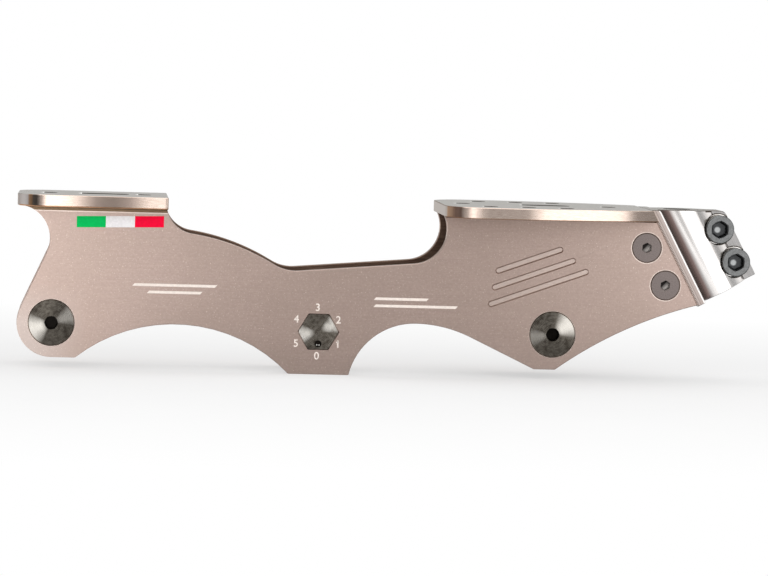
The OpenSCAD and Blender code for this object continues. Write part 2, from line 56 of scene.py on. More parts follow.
# Places and sizes of the frame body in millimetres, measured from the middle of the sole bolts
FRAME_MIDDLE_X = -45.0
MIDDLE_SEAT = Vector((-69.5, 0.0, -44.4))
HALF_W = 16.0
NEAR_FACE = -HALF_W
HALF_CHANNEL = 12.25
UNDERSIDE_Z = -4.0
PLATFORM_FILLET = 1.5
HEEL_FRONT_X = -115.0
GROOVE_DEPTH = 0.4
SOLE_HOLES_X = (-27.0, 33.0)
SOLE_HOLES_SIDE = 26.0
HEEL_HOLES_X = (-168.0, -123.0)
HEEL_HOLES_SIDE = 5.0

# Toe stop holder, in millimetres, with its lean in radians
END_FACE_X = 42.9
STEM_LEAN = math.radians(28.0)
STEM_AHEAD = 10.0
BORE_R = 4.05
FLANGE_T = 2.9
SHOULDER_IN = 11.0
EAR_W = 12.4
TOOTH_PITCH = 0.53

# Heads and sockets of the screws and axles, in millimetres; tops and depths are measured in from the face
COUNTERSUNK_SEAT_R = 5.2
# COUNTERSUNK_RIM bounds the painted shade at a countersunk head's edge
COUNTERSUNK_RIM = (4.7, 4.9)
COUNTERSUNK_SOCKET_R = 1.8
COUNTERSUNK_SOCKET_TOP = 0.3
CAP_FLANK_R = 4.15
CAP_FLANK_TOP = 0.5
CAP_SOCKET_R = 2.95
INSERT_SOCKET_R = 1.8
AXLE_SEAT_R = 7.8
AXLE_SOCKET_R = 2.25
AXLE_SOCKET_DEPTH = 8.0
DIMPLE_BELOW = 4.1
DIMPLE_D = 2.2

# Room that the masks of a finish leave around a face, in millimetres
WALL_SKIN = 0.006
SKIN = 0.02
GROOVE_SKIN = 0.05
ROOM = 0.1
WIDE_ROOM = 0.3

# Cosines, along one axis, that sort faces by the way they point
SIDEWAYS = 0.5
PARTLY_SIDEWAYS = 0.2
UPWARD = 0.9
PARTLY_UPWARD = 0.3
FORWARD = 0.8
BACKWARD = -0.97
HOLE_FAR_WALL = -0.1
HOLE_REAR_WALL = 0.4


def srgb(red, green, blue):
    """Linear colour of an 8-bit display colour."""
    def linear(c):
        c /= 255.0
        return c / 12.92 if c <= 0.04045 else ((c + 0.055) / 1.055) ** 2.4
    return (linear(red), linear(green), linear(blue), 1.0)


def dimmed(colour, share):
    """A share of a colour's light."""
    return tuple(c * share for c in colour[:3]) + (1.0,)


class Graph:
    """Short ways to build the nodes of a material or a world."""

    def __init__(self, name, tree=None):
        if tree is None:
            self.material = bpy.data.materials.new(name)
            self.material.use_nodes = True
            tree = self.material.node_tree
        self.tree = tree
        self.tree.nodes.clear()

    def put(self, socket, value):
        if isinstance(value, bpy.types.NodeSocket):
            self.tree.links.new(value, socket)
        else:
            socket.default_value = value

    def node(self, kind, props=None, **inputs):
        made = self.tree.nodes.new(kind)
        for key, value in (props or {}).items():
            setattr(made, key, value)
        for key, value in inputs.items():
            self.put(made.inputs[key.replace("_", " ")], value)
        return made

    def math(self, operation, *values):
        made = self.node("ShaderNodeMath", {"operation": operation})
        for socket, value in zip(made.inputs, values):
            self.put(socket, value)
        return made.outputs[0]

    def vector(self, operation, *values):
        made = self.node("ShaderNodeVectorMath", {"operation": operation})
        for socket, value in zip(made.inputs, values):
            self.put(socket, value)
        return made.outputs["Vector"]

    def place(self, centre=(0.0, 0.0, 0.0)):
        """Point on the piece in millimetres, from a centre."""
        at = self.node("ShaderNodeTexCoord").outputs["Object"]
        return self.vector("SUBTRACT", self.vector("MULTIPLY", at, (1.0 / MM,) * 3), centre)

    def normal(self):
        return self.node("ShaderNodeTexCoord").outputs["Normal"]

    def split(self, vector):
        return self.node("ShaderNodeSeparateXYZ", Vector=vector).outputs

    def size(self, value):
        return self.math("ABSOLUTE", value)

    def over(self, value, limit):
        return self.math("GREATER_THAN", value, limit)

    def under(self, value, limit):
        return self.math("LESS_THAN", value, limit)

    def all(self, first, *others):
        """1 where every mask is 1."""
        for other in others:
            first = self.math("MULTIPLY", first, other)
        return first

    def any(self, first, *others):
        """1 where one of the masks is 1."""
        for other in others:
            first = self.math("MAXIMUM", first, other)
        return first

    def between(self, value, low, high):
        return self.all(self.over(value, low), self.under(value, high))

    def length(self, a, b):
        """Length of a vector with two parts."""
        return self.math("SQRT", self.math("ADD", self.math("MULTIPLY", a, a), self.math("MULTIPLY", b, b)))

    def noise(self, vector, waves, detail=3.0):
        """Noise with so many waves to the millimetre along each axis."""
        made = self.node("ShaderNodeTexNoise", Vector=self.vector("MULTIPLY", vector, waves),
                         Scale=1.0, Detail=detail, Roughness=0.55)
        return made.outputs["Fac"]

    def span(self, value, low=0.3, high=0.7, to_low=0.0, to_high=1.0):
        """From to_low to to_high as the value goes from low to high, where most of a noise lies."""
        made = self.node("ShaderNodeMapRange", {"clamp": True})
        for socket, number in zip(made.inputs, (value, low, high, to_low, to_high)):
            self.put(socket, number)
        return made.outputs[0]

    def fall(self, value, low, high):
        """From 1 to 0 as the value goes from low to high."""
        return self.span(value, low, high, 1.0, 0.0)

    def mix(self, factor, a, b):
        """A colour that goes from a to b."""
        made = self.node("ShaderNodeMix", {"data_type": "RGBA"})
        self.put(made.inputs["Factor"], factor)
        self.put(made.inputs[6], a)
        self.put(made.inputs[7], b)
        return made.outputs[2]

    def blend(self, factor, a, b):
        """A number that goes from a to b."""
        made = self.node("ShaderNodeMix", {"data_type": "FLOAT"})
        self.put(made.inputs["Factor"], factor)
        self.put(made.inputs[2], a)
        self.put(made.inputs[3], b)
        return made.outputs[0]

    def bump(self, height, depth_mm, strength=0.5):
        made = self.node("ShaderNodeBump", Height=height, Distance=depth_mm * MM, Strength=strength)
        return made.outputs["Normal"]

    def finish(self, **inputs):
        shader = self.node("ShaderNodeBsdfPrincipled", **inputs)
        self.node("ShaderNodeOutputMaterial", Surface=shader.outputs[0])
        return self.material


# Tint of the aluminium where it is seen at a grazing angle
ALUMINIUM_EDGE = srgb(168, 163, 159)

# Tones of the frame body: the darkest and the palest of the fine grain
CHAMPAGNE = {
    "pale": (srgb(214, 196, 186), srgb(236, 222, 213)),
    "milled": (srgb(168, 141, 123), srgb(190, 164, 147)),
    "polished": (srgb(206, 184, 170), srgb(228, 210, 198)),
    # painted golden reflection of the lower rim's edge
    "painted_golden_reflection": (srgb(160, 122, 94), srgb(184, 146, 118)),
    # painted shade on the fillet under the platforms
    "painted_fillet_shade": (srgb(84, 66, 50), srgb(106, 86, 68)),
    # painted shade band on the wall under the heel platform
    "painted_band_shade": (srgb(116, 96, 76), srgb(138, 116, 94)),
    # painted shade inside the holes in the platform tops
    "dark": (srgb(30, 25, 22), srgb(52, 45, 40)),
}

# Zones of the frame body's finish, in millimetres: places along the frame and up, then widths of bands
# REAR_BOSS_X and REAR_BOSS_Z bound a painted paler sheen on the rear boss
REAR_BOSS_X = (-166.0, -148.0)
REAR_BOSS_Z = (-44.0, -30.0)
INNER_X = (-172.0, -140.0)
# Between these the heel rim carries a painted shade
HEEL_MIDDLE_BEGINS_X = (-153.0, -146.0)
HEEL_MIDDLE_ENDS_X = (-134.0, -128.0)
# These corner zones carry painted reflection bands
HEEL_CORNER_X = (-163.8, -162.0)
SOLE_CORNER_X = (-17.4, -15.4)
TOP_Z = -0.2
# HEEL_BAND is the height of the painted shade band under the heel platform
HEEL_BAND = 1.35
# RUN_OUT_BAND is the height of the painted highlight line below that shade band
RUN_OUT_BAND = 0.35
# GOLDEN_BAND is the height of the painted golden reflection along the platforms' lower rim
GOLDEN_BAND = 0.45
SEAT_RIM = 0.24

# Share of the pale tone on the floors of the grooves
GROOVE_PALE = 0.45

# Painted reflection bands, light and dark, around the platforms' rear corners, towards the heel:
# where each begins, where it is full, and its colour
HEEL_CORNER_REFLECTIONS = ((-164.6, -165.8, srgb(118, 108, 100)), (-166.8, -167.4, srgb(150, 118, 92)),
               (-168.2, -168.8, srgb(172, 166, 163)))
SOLE_CORNER_REFLECTIONS = ((-22.4, -23.6, srgb(112, 92, 82)), (-25.3, -26.3, srgb(144, 121, 104)))


def champagne_wall(g, at, grain, fine):
    """Brushed tone of the walls: mottled, clouded, specked, and painted paler on the rear boss as a sheen."""
    x, _, z = g.split(at)
    mottle = g.noise(at, (1.3, 1.3, 1.3), detail=3.0)
    cloud = g.noise(at, (0.035, 0.035, 0.05))
    specks = g.span(g.noise(at, (2.3, 2.3, 2.3), detail=1.0), 0.66, 0.76, 0.0, 0.6)
    # Painted sheen: paler tone on the rear boss
    rear_boss_sheen = g.all(g.span(x, *REAR_BOSS_X, 0.6, 0.0), g.fall(z, *REAR_BOSS_Z))
    tone = g.mix(g.span(grain), srgb(180, 158, 148), srgb(194, 172, 162))
    tone = g.mix(g.span(fine, 0.35, 0.7, 0.0, 0.35), tone, srgb(206, 186, 177))
    tone = g.mix(g.span(mottle, 0.35, 0.65, 0.0, 0.35), tone, srgb(166, 146, 138))
    tone = g.mix(g.span(cloud, 0.35, 0.65, 0.0, 0.3), tone, srgb(172, 153, 141))
    tone = g.mix(rear_boss_sheen, tone, srgb(192, 181, 175))
    return g.mix(specks, tone, srgb(236, 222, 212))


def champagne_zones(g, at, seats):
    """Masks of the frame body's finish, each 1 on the faces that it names."""
    x, y, z = g.split(at)
    across = g.size(y)
    facing = g.split(g.normal())
    side_on = g.over(g.size(facing[1]), SIDEWAYS)
    heel = g.under(x, HEEL_FRONT_X)
    sole = g.over(x, HEEL_FRONT_X)
    outside = g.over(across, HALF_W + WALL_SKIN)
    platform = g.over(z, UNDERSIDE_Z - SKIN)

    heel_wall = g.all(side_on, heel, g.over(across, HALF_W - ROOM))
    band_foot = UNDERSIDE_Z - HEEL_BAND
    groove_floor = HALF_W - GROOVE_DEPTH
    in_groove = g.between(across, groove_floor - GROOVE_SKIN, groove_floor + GROOVE_SKIN)
    rims = []
    for centre, radius in seats:
        from_seat = g.split(g.place(centre))
        rims.append(g.between(g.length(from_seat[0], from_seat[2]), radius, radius + SEAT_RIM))

    heel_middle = g.all(g.span(x, *HEEL_MIDDLE_BEGINS_X), g.fall(x, *HEEL_MIDDLE_ENDS_X))
    sole_holes = g.all(g.between(x, *SOLE_HOLES_X), g.under(across, SOLE_HOLES_SIDE))
    heel_holes = g.all(g.between(x, *HEEL_HOLES_X), g.under(across, HEEL_HOLES_SIDE))
    bores = g.all(g.over(z, UNDERSIDE_Z + WIDE_ROOM), g.any(sole_holes, heel_holes))
    hole = g.all(bores, g.under(facing[1], HOLE_FAR_WALL))
    return SimpleNamespace(
        side_on=side_on,
        seat_rims=g.all(g.any(*rims), g.under(y, 0.0), side_on),
        groove=g.all(side_on, in_groove),
        shade_band=g.all(heel_wall, g.between(z, band_foot, UNDERSIDE_Z)),
        run_out=g.all(heel_wall, g.between(z, band_foot - RUN_OUT_BAND, band_foot)),
        inner=g.all(side_on, g.under(across, HALF_CHANNEL + WIDE_ROOM), g.span(x, *INNER_X)),
        platform=platform,
        heel_middle=g.all(platform, heel, heel_middle),
        heel_corner=g.all(platform, heel, g.fall(x, *HEEL_CORNER_X)),
        sole_corner=g.all(platform, sole, g.fall(x, *SOLE_CORNER_X)),
        sole_back=g.all(platform, sole, g.under(facing[0], BACKWARD)),
        lower_rim=g.all(platform, outside, g.under(z, UNDERSIDE_Z + GOLDEN_BAND)),
        fillet=g.all(outside, g.between(z, UNDERSIDE_Z - PLATFORM_FILLET - ROOM, UNDERSIDE_Z - SKIN)),
        top=g.all(g.over(facing[2], UPWARD), g.over(z, TOP_Z)),
        hole=hole,
        lit_hole=g.all(hole, g.over(facing[0], HOLE_REAR_WALL)),
    )


def champagne_aluminium(seats):
    """Frame body: brushed champagne walls, polished platform edges and grey satin platform tops, with painted
    shade, highlights and reflections in places.

    The seats are the screw and axle heads in the near wall, each with a pale turned edge around it.
    """
    g = Graph("champagne_aluminium")
    at = g.place()
    x = g.split(at)[0]
    grain = g.noise(at, (0.06, 0.06, 2.6), detail=5.0)
    fine = g.noise(at, (0.5, 0.5, 7.0), detail=2.0)
    streaks = g.noise(at, (0.25, 2.0, 1.0), detail=4.0)
    tone = {name: g.mix(g.span(fine), darkest, palest) for name, (darkest, palest) in CHAMPAGNE.items()}
    shaded = g.mix(g.span(grain), srgb(108, 86, 73), srgb(136, 113, 98))
    satin = g.mix(g.span(streaks), srgb(190, 190, 187), srgb(214, 214, 211))
    zone = champagne_zones(g, at, seats)

    colour = g.mix(zone.side_on, tone["milled"], champagne_wall(g, at, grain, fine))
    colour = g.mix(zone.seat_rims, colour, tone["pale"])
    # Painted highlight line on the wall just below the painted shade band under the heel
    colour = g.mix(zone.run_out, colour, tone["pale"])
    colour = g.mix(g.math("MULTIPLY", zone.groove, GROOVE_PALE), colour, tone["pale"])
    # Painted shade band on the wall under the heel platform, where a fillet's shade would fall
    colour = g.mix(zone.shade_band, colour, tone["painted_band_shade"])
    colour = g.mix(zone.inner, colour, shaded)
    colour = g.mix(zone.platform, colour, tone["polished"])
    # Painted shade: the middle of the heel rim is darker, standing in for a dim reflection
    colour = g.mix(zone.heel_middle, colour, srgb(194, 174, 162))
    # Painted reflection bands on the rounded rear corners of the platforms
    for corner, shades in ((zone.heel_corner, HEEL_CORNER_REFLECTIONS), (zone.sole_corner, SOLE_CORNER_REFLECTIONS)):
        for begins, full, shade in shades:
            colour = g.mix(g.all(corner, g.fall(x, full, begins)), colour, shade)
    # Painted shade: the sole platform's rear face is darker grey
    colour = g.mix(zone.sole_back, colour, srgb(158, 153, 149))
    # Painted golden reflection along the platforms' lower rim
    colour = g.mix(zone.lower_rim, colour, tone["painted_golden_reflection"])
    # Painted shade on the fillet under the platforms
    colour = g.mix(zone.fillet, colour, tone["painted_fillet_shade"])
    colour = g.mix(zone.top, colour, satin)
    # Painted shade on the far walls of the holes in the platform tops
    colour = g.mix(zone.hole, colour, tone["dark"])
    # Painted glints on the holes' rear walls, which face forward
    colour = g.mix(zone.lit_hole, colour, srgb(250, 249, 247))

    rim = g.any(zone.platform, zone.fillet)
    rim_rough = g.blend(g.any(zone.heel_corner, zone.sole_corner), 0.14, 0.3)
    rough = g.blend(zone.side_on, 0.26, g.span(grain, to_low=0.36, to_high=0.48))
    rough = g.blend(rim, rough, rim_rough)
    rough = g.blend(zone.top, rough, 0.45)
    height = g.math("ADD", grain, g.math("MULTIPLY", fine, 0.6))
    return g.finish(Base_Color=colour, Metallic=1.0, Roughness=rough, Specular_Tint=ALUMINIUM_EDGE,
                    Normal=g.bump(height, 0.012, g.blend(rim, 0.5, 0.15)))


# Bands of the toe stop holder's finish, in millimetres: widths along the flange's two edges, the front one a
# painted highlight, a line on it and a painted dark reflection band beyond it, both measured ahead from the
# walls' end, and the edges of the top and of the bore's painted shade
TEETH_BAND = 0.7
LIT_BAND = 0.5
MILLED_LINE = (1.1, 1.45)
DARK_BEGINS = (3.2, 4.8)
DARK_ENDS = (5.8, 7.4)
TOP_EDGE_Z = -0.6
BORE_EDGE = 0.25


def polished_aluminium():
    """Toe stop holder: polished, with a fine milled step along the joint with the walls."""
    g = Graph("polished_aluminium")
    lean_sin, lean_cos = math.sin(STEM_LEAN), math.cos(STEM_LEAN)

    def along_lean(run, rise):
        return g.math("ADD", g.math("MULTIPLY", run, lean_cos), g.math("MULTIPLY", rise, lean_sin))

    at = g.place((END_FACE_X, 0.0, 0.0))
    x, y, z = g.split(at)
    across = g.size(y)
    ahead = along_lean(x, z)
    down = g.math("SUBTRACT", g.math("MULTIPLY", x, lean_sin), g.math("MULTIPLY", z, lean_cos))
    facing = g.split(g.normal())
    forward = along_lean(facing[0], facing[2])
    leaning = g.node("ShaderNodeCombineXYZ", X=ahead, Y=y, Z=down).outputs[0]
    lines = g.noise(leaning, (1.6, 1.6, 0.04), detail=4.0)
    cloud = g.noise(at, (0.12, 0.12, 0.12), detail=2.0)

    flange = g.over(across, HALF_W - ROOM)
    ear = g.between(across, EAR_W / 2 - ROOM, EAR_W / 2 + ROOM)
    tooth = g.over(g.math("SINE", g.math("MULTIPLY", down, 2.0 * math.pi / TOOTH_PITCH)), 0.0)
    shoulder = g.all(g.over(forward, FORWARD), g.between(ahead, FLANGE_T - WIDE_ROOM, FLANGE_T + ROOM))
    hollow = g.all(g.over(ahead, FLANGE_T + ROOM), g.over(g.size(facing[1]), PARTLY_SIDEWAYS))
    dark = g.all(hollow, g.span(ahead, *DARK_BEGINS, 0.1, 1.0), g.fall(ahead, *DARK_ENDS))
    top = g.over(facing[2], UPWARD)
    top_edge = g.all(g.between(facing[2], PARTLY_UPWARD, UPWARD), g.over(z, TOP_EDGE_Z))
    bore = g.under(g.length(g.math("SUBTRACT", ahead, STEM_AHEAD), y), BORE_R + BORE_EDGE)
    # Painted shade on the flange's front face: darker towards the barrel
    shoulder_painted_shade = g.mix(g.span(across, SHOULDER_IN, HALF_W), srgb(140, 127, 122), srgb(200, 191, 187))

    colour = g.mix(g.span(lines), srgb(238, 233, 230), srgb(250, 248, 246))
    colour = g.mix(g.span(cloud, 0.4, 0.7, 0.0, 0.35), colour, srgb(232, 224, 219))
    colour = g.mix(flange, colour, g.mix(g.span(lines), srgb(172, 159, 153), srgb(192, 180, 174)))
    # Painted highlight along the flange's front edge
    colour = g.mix(g.all(flange, g.over(ahead, FLANGE_T - LIT_BAND)), colour, srgb(252, 249, 247))
    colour = g.mix(g.all(flange, g.between(ahead, *MILLED_LINE)), colour, srgb(160, 147, 141))
    colour = g.mix(ear, colour, g.mix(g.span(lines), srgb(146, 144, 143), srgb(168, 166, 165)))
    colour = g.mix(g.all(flange, g.under(ahead, TEETH_BAND), tooth), colour, srgb(112, 98, 90))
    colour = g.mix(shoulder, colour, shoulder_painted_shade)
    # Painted dark reflection on the barrel beyond the flange
    colour = g.mix(dark, colour, srgb(136, 124, 122))
    colour = g.mix(top, colour, g.mix(g.span(lines), srgb(178, 178, 175), srgb(204, 204, 201)))
    colour = g.mix(top_edge, colour, srgb(88, 82, 78))
    # Painted shade inside the stem bore
    colour = g.mix(bore, colour, srgb(40, 36, 34))
    rough = g.blend(g.any(flange, ear), g.span(lines, to_low=0.14, to_high=0.2), 0.4)
    rough = g.blend(top, rough, 0.45)
    return g.finish(Base_Color=colour, Metallic=1.0, Roughness=rough, Specular_Tint=ALUMINIUM_EDGE,
                    Normal=g.bump(lines, 0.004, 0.3))


# Painted highlights on the turned faces, in bright sectors: middle angle and half width in degrees, and share
PAINTED_SHINE = {
    "rear": ((201.0, 46.0, 0.58), (22.0, 28.0, 0.3)),
    "front": ((35.0, 44.0, 0.66), (190.0, 26.0, 0.3)),
    "middle": ((190.0, 33.0, 0.92), (28.0, 31.0, 0.97)),
}
# Painted shade of each axle's plain steel, darkest on the rear one: its brightness as a share of the tones in
# turned_steel
PAINTED_LIGHT_SHARE = {"rear": 0.5, "front": 0.9, "middle": 1.0}
# Radii, in millimetres, between which a painted highlight sector grows bright, and how ragged its edges are
PAINTED_SHINE_R = (1.2, 3.4)
PAINTED_SHINE_RAGGED = 0.035
# Two painted glints low in the dimple: how far each lies to its side and below its middle, and their radius
GLINT_OUT = 0.4
GLINT_R = 0.22


def turned_steel(name, centre, wheel, has_socket):
    """Axle: gunmetal turned about its own axis, which runs along Y, with painted highlights in the wheel's
    sectors.

    A socket is painted near-black inside as shade; an axle without one has a dimple below its middle, painted
    dark as shade with two painted glints.
    """
    g = Graph(name)
    at = g.place(centre)
    x, y, z = g.split(at)
    radius = g.length(x, z)
    angle = g.math("ARCTAN2", z, x)
    rings = g.node("ShaderNodeTexNoise", {"noise_dimensions": "1D"}, W=radius, Scale=5.0, Detail=4.0)
    rings = rings.outputs["Fac"]
    stain = g.noise(at, (0.7, 0.7, 0.7), detail=5.0)
    # Painted shade: the plain steel is dimmed by this share
    tone = PAINTED_LIGHT_SHARE[wheel]
    colour = g.mix(g.span(rings), dimmed(srgb(98, 92, 84), tone), dimmed(srgb(132, 126, 117), tone))
    colour = g.mix(g.span(stain, 0.4, 0.65, 0.0, 0.8), colour, dimmed(srgb(66, 59, 52), tone))
    # Painted highlights: bright sectors of the turned face
    for middle, half_width, share in PAINTED_SHINE[wheel]:
        sector = g.math("COSINE", g.math("SUBTRACT", angle, math.radians(middle)))
        sector = g.math("ADD", sector, g.span(stain, to_low=-PAINTED_SHINE_RAGGED, to_high=PAINTED_SHINE_RAGGED))
        sector = g.span(sector, math.cos(math.radians(half_width)), 1.0, 0.0, share)
        sector = g.all(sector, g.span(radius, *PAINTED_SHINE_R))
        colour = g.mix(sector, colour, srgb(236, 231, 223))
    if has_socket:
        # Painted shade inside the socket
        socket = g.all(g.under(g.size(y), AXLE_SOCKET_DEPTH), g.under(radius, AXLE_SOCKET_R))
        colour = g.mix(socket, colour, srgb(20, 18, 16))
    else:
        from_dimple = g.math("ADD", z, DIMPLE_BELOW)
        # Painted shade inside the dimple, then its two painted glints
        colour = g.mix(g.under(g.length(x, from_dimple), DIMPLE_D / 2), colour, srgb(34, 30, 26))
        to_glint = g.math("ADD", from_dimple, GLINT_OUT)
        from_glint = g.length(g.math("SUBTRACT", g.size(x), GLINT_OUT), to_glint)
        colour = g.mix(g.under(from_glint, GLINT_R), colour, srgb(240, 238, 232))
    rough = g.span(rings, to_low=0.22, to_high=0.36)
    tangent = g.node("ShaderNodeTangent", {"direction_type": "RADIAL", "axis": "Y"}).outputs[0]
    return g.finish(Base_Color=colour, Metallic=1.0, Roughness=rough, Anisotropic=0.5,
                    Anisotropic_Rotation=0.25, Tangent=tangent, Normal=g.bump(rings, 0.02))


# Painted highlight on one side of a countersunk screw's socket, fading into painted shade: from where to
# where it brightens, in millimetres
SOCKET_LIT = (-0.6, 1.2)


def grey_steel(name, centre):
    """Countersunk screw: plain grey steel, with painted shade at the head's edge and in its socket, and a
    painted highlight on one side of the socket.
    """
    g = Graph(name)
    at = g.place(centre)
    x, y, z = g.split(at)
    radius = g.length(x, z)
    grain = g.noise(at, (3.0, 3.0, 3.0), detail=4.0)
    colour = g.mix(g.span(grain), srgb(113, 103, 101), srgb(138, 128, 124))
    # Painted shade in the gap at the head's edge
    colour = g.mix(g.span(radius, *COUNTERSUNK_RIM), colour, srgb(72, 60, 52))
    # Painted shade in the socket, with a painted highlight on one side
    socket = g.all(g.under(radius, COUNTERSUNK_SOCKET_R), g.over(g.size(y), COUNTERSUNK_SOCKET_TOP))
    lit = g.span(g.math("SUBTRACT", x, z), *SOCKET_LIT)
    colour = g.mix(socket, colour, g.mix(lit, srgb(36, 33, 32), srgb(168, 162, 158)))
    rough = g.span(grain, to_low=0.36, to_high=0.48)
    return g.finish(Base_Color=colour, Metallic=1.0, Roughness=rough, Normal=g.bump(grain, 0.01))


# Painted highlight in a socket head's floor: its middle, left of and below the axis, and its edge
SPOT_LEFT = 0.5
SPOT_BELOW = 0.2
SPOT_EDGE = (0.7, 1.2)


def black_steel(name, centre, socket_r):
    """Socket head screw: dark oiled steel, mottled, with painted light on the flank of its head, and painted
    shade and a painted highlight in its socket.
    """
    g = Graph(name)
    at = g.place(centre)
    x, y, z = g.split(at)
    radius = g.length(x, z)
    grain = g.noise(at, (2.2, 2.2, 2.2), detail=4.0)
    spots = g.noise(at, (0.6, 0.6, 0.6), detail=2.0)
    colour = g.mix(g.span(grain), srgb(98, 99, 99), srgb(132, 133, 133))
    colour = g.mix(g.span(spots, 0.4, 0.7, 0.0, 0.5), colour, srgb(90, 90, 89))
    # Painted light: the flank of the head is paler
    flank = g.all(g.over(radius, CAP_FLANK_R), g.over(g.size(y), CAP_FLANK_TOP))
    colour = g.mix(flank, colour, srgb(158, 154, 146))
    # Painted shade in the socket, with a painted highlight on its floor
    from_spot = g.length(g.math("ADD", x, SPOT_LEFT), g.math("ADD", z, SPOT_BELOW))
    socket = g.mix(g.fall(from_spot, *SPOT_EDGE), srgb(62, 63, 64), srgb(160, 162, 162))
    colour = g.mix(g.under(radius, socket_r), colour, socket)
    rough = g.span(grain, to_low=0.28, to_high=0.42)
    return g.finish(Base_Color=colour, Metallic=1.0, Roughness=rough, Normal=g.bump(grain, 0.015))


def printed(name, colour):
    """Ink on the wall: slightly uneven, with a faint shine."""
    g = Graph(name)
    wear = g.noise(g.place(), (1.4, 1.4, 1.4))
    tint = g.mix(g.span(wear, 0.35, 0.65), dimmed(colour, 0.9), colour)
    rough = g.span(wear, to_low=0.4, to_high=0.55)
    return g.finish(Base_Color=tint, Roughness=rough, Specular_IOR_Level=0.06,
                    Normal=g.bump(wear, 0.004, 0.3))


# Clean-up of a node's mesh: gap that is welded in millimetres, and angles between faces
WELD_GAP = 0.001
FLAT_ANGLE = math.radians(0.1)
BROKEN_ANGLE = math.radians(35.0)
HARD_ANGLE = math.radians(28.0)


def normals_by_angle(angle):
    """Geometry nodes that keep edges sharper than an angle hard, and smooth all others."""
    tree = bpy.data.node_groups.new("normals_by_angle", "GeometryNodeTree")
    tree.interface.new_socket("Geometry", in_out="INPUT", socket_type="NodeSocketGeometry")
    tree.interface.new_socket("Geometry", in_out="OUTPUT", socket_type="NodeSocketGeometry")
    source = tree.nodes.new("NodeGroupInput")
    sink = tree.nodes.new("NodeGroupOutput")
    edge = tree.nodes.new("GeometryNodeInputMeshEdgeAngle")
    hard = tree.nodes.new("FunctionNodeCompare")
    hard.data_type = "FLOAT"
    hard.operation = "GREATER_THAN"
    hard.inputs[1].default_value = angle
    normals = tree.nodes.new("GeometryNodeSetMeshNormal")
    normals.mode = "SHARPNESS"
    tree.links.new(edge.outputs[0], hard.inputs[0])
    tree.links.new(source.outputs[0], normals.inputs["Mesh"])
    tree.links.new(hard.outputs[0], normals.inputs["Edge Sharpness"])
    tree.links.new(normals.outputs[0], sink.inputs[0])
    return tree


HARD_EDGES = normals_by_angle(HARD_ANGLE)


def break_edges(piece, width_mm):
    """A small chamfer on every sharp edge, and smooth shading over the round faces."""
    weld = piece.modifiers.new("weld", "WELD")
    weld.merge_threshold = WELD_GAP * MM
    flat = piece.modifiers.new("flat_faces", "DECIMATE")
    flat.decimate_type = "DISSOLVE"
    flat.angle_limit = FLAT_ANGLE
    bevel = piece.modifiers.new("broken_edges", "BEVEL")
    bevel.width = width_mm * MM
    bevel.segments = 1
    bevel.limit_method = "ANGLE"
    bevel.angle_limit = BROKEN_ANGLE
    bevel.use_clamp_overlap = False
    shading = piece.modifiers.new("normals", "NODES")
    shading.node_group = HARD_EDGES
    even = piece.modifiers.new("flat_first", "WEIGHTED_NORMAL")
    even.mode = "FACE_AREA"
    even.weight = 100
    even.keep_sharp = True


# Widths of the broken edges, in millimetres
MILLED_EDGE = 0.2
COUNTERSUNK_EDGE = 0.1
CAP_EDGE = 0.35
AXLE_EDGE = 0.15
HEXAGON_EDGE = 0.12

# Signs of the two sides along Y, the screws' two rows, and the wheels whose axles have round heads
SIDES = {"near": -1, "far": 1}
ROWS = ("upper", "lower")
END_WHEELS = ("rear", "front")


def face_centre(node, side="near"):
    """Middle of a node's outer face on one side, in millimetres."""
    low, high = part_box(node)
    middle = (low + high) / 2 / MM
    middle.y = (low if SIDES[side] < 0 else high).y / MM
    return tuple(middle)


def paint(node, material, edge_mm):
    piece = nodes[node]
    piece.data.materials.clear()
    piece.data.materials.append(material)
    break_edges(piece, edge_mm)


def finishes():
    """A finish and broken edges for every node."""
    seats = [(face_centre(f"holder_screw_near_{row}"), COUNTERSUNK_SEAT_R) for row in ROWS]
    seats += [(face_centre(f"{wheel}_axle_sleeve"), AXLE_SEAT_R) for wheel in END_WHEELS]
    paint("frame_body", champagne_aluminium(seats), MILLED_EDGE)
    paint("toe_stop_holder", polished_aluminium(), MILLED_EDGE)
    for side in SIDES:
        for row in ROWS:
            node = f"holder_screw_{side}_{row}"
            paint(node, grey_steel(node, face_centre(node, side)), COUNTERSUNK_EDGE)
    for row in ROWS:
        node = f"clamp_screw_{row}"
        paint(node, black_steel(node, face_centre(node), CAP_SOCKET_R), CAP_EDGE)
    for wheel in END_WHEELS:
        for part, side in (("sleeve", "near"), ("screw", "far")):
            node = f"{wheel}_axle_{part}"
            paint(node, turned_steel(node, face_centre(node, side), wheel, has_socket=True), AXLE_EDGE)
    for node in ("middle_axle", "middle_axle_insert"):
        paint(node, turned_steel(node, tuple(MIDDLE_SEAT), "middle", has_socket=False), HEXAGON_EDGE)
    node = "middle_axle_screw"
    paint(node, black_steel(node, face_centre(node, "far"), INSERT_SOCKET_R), AXLE_EDGE)


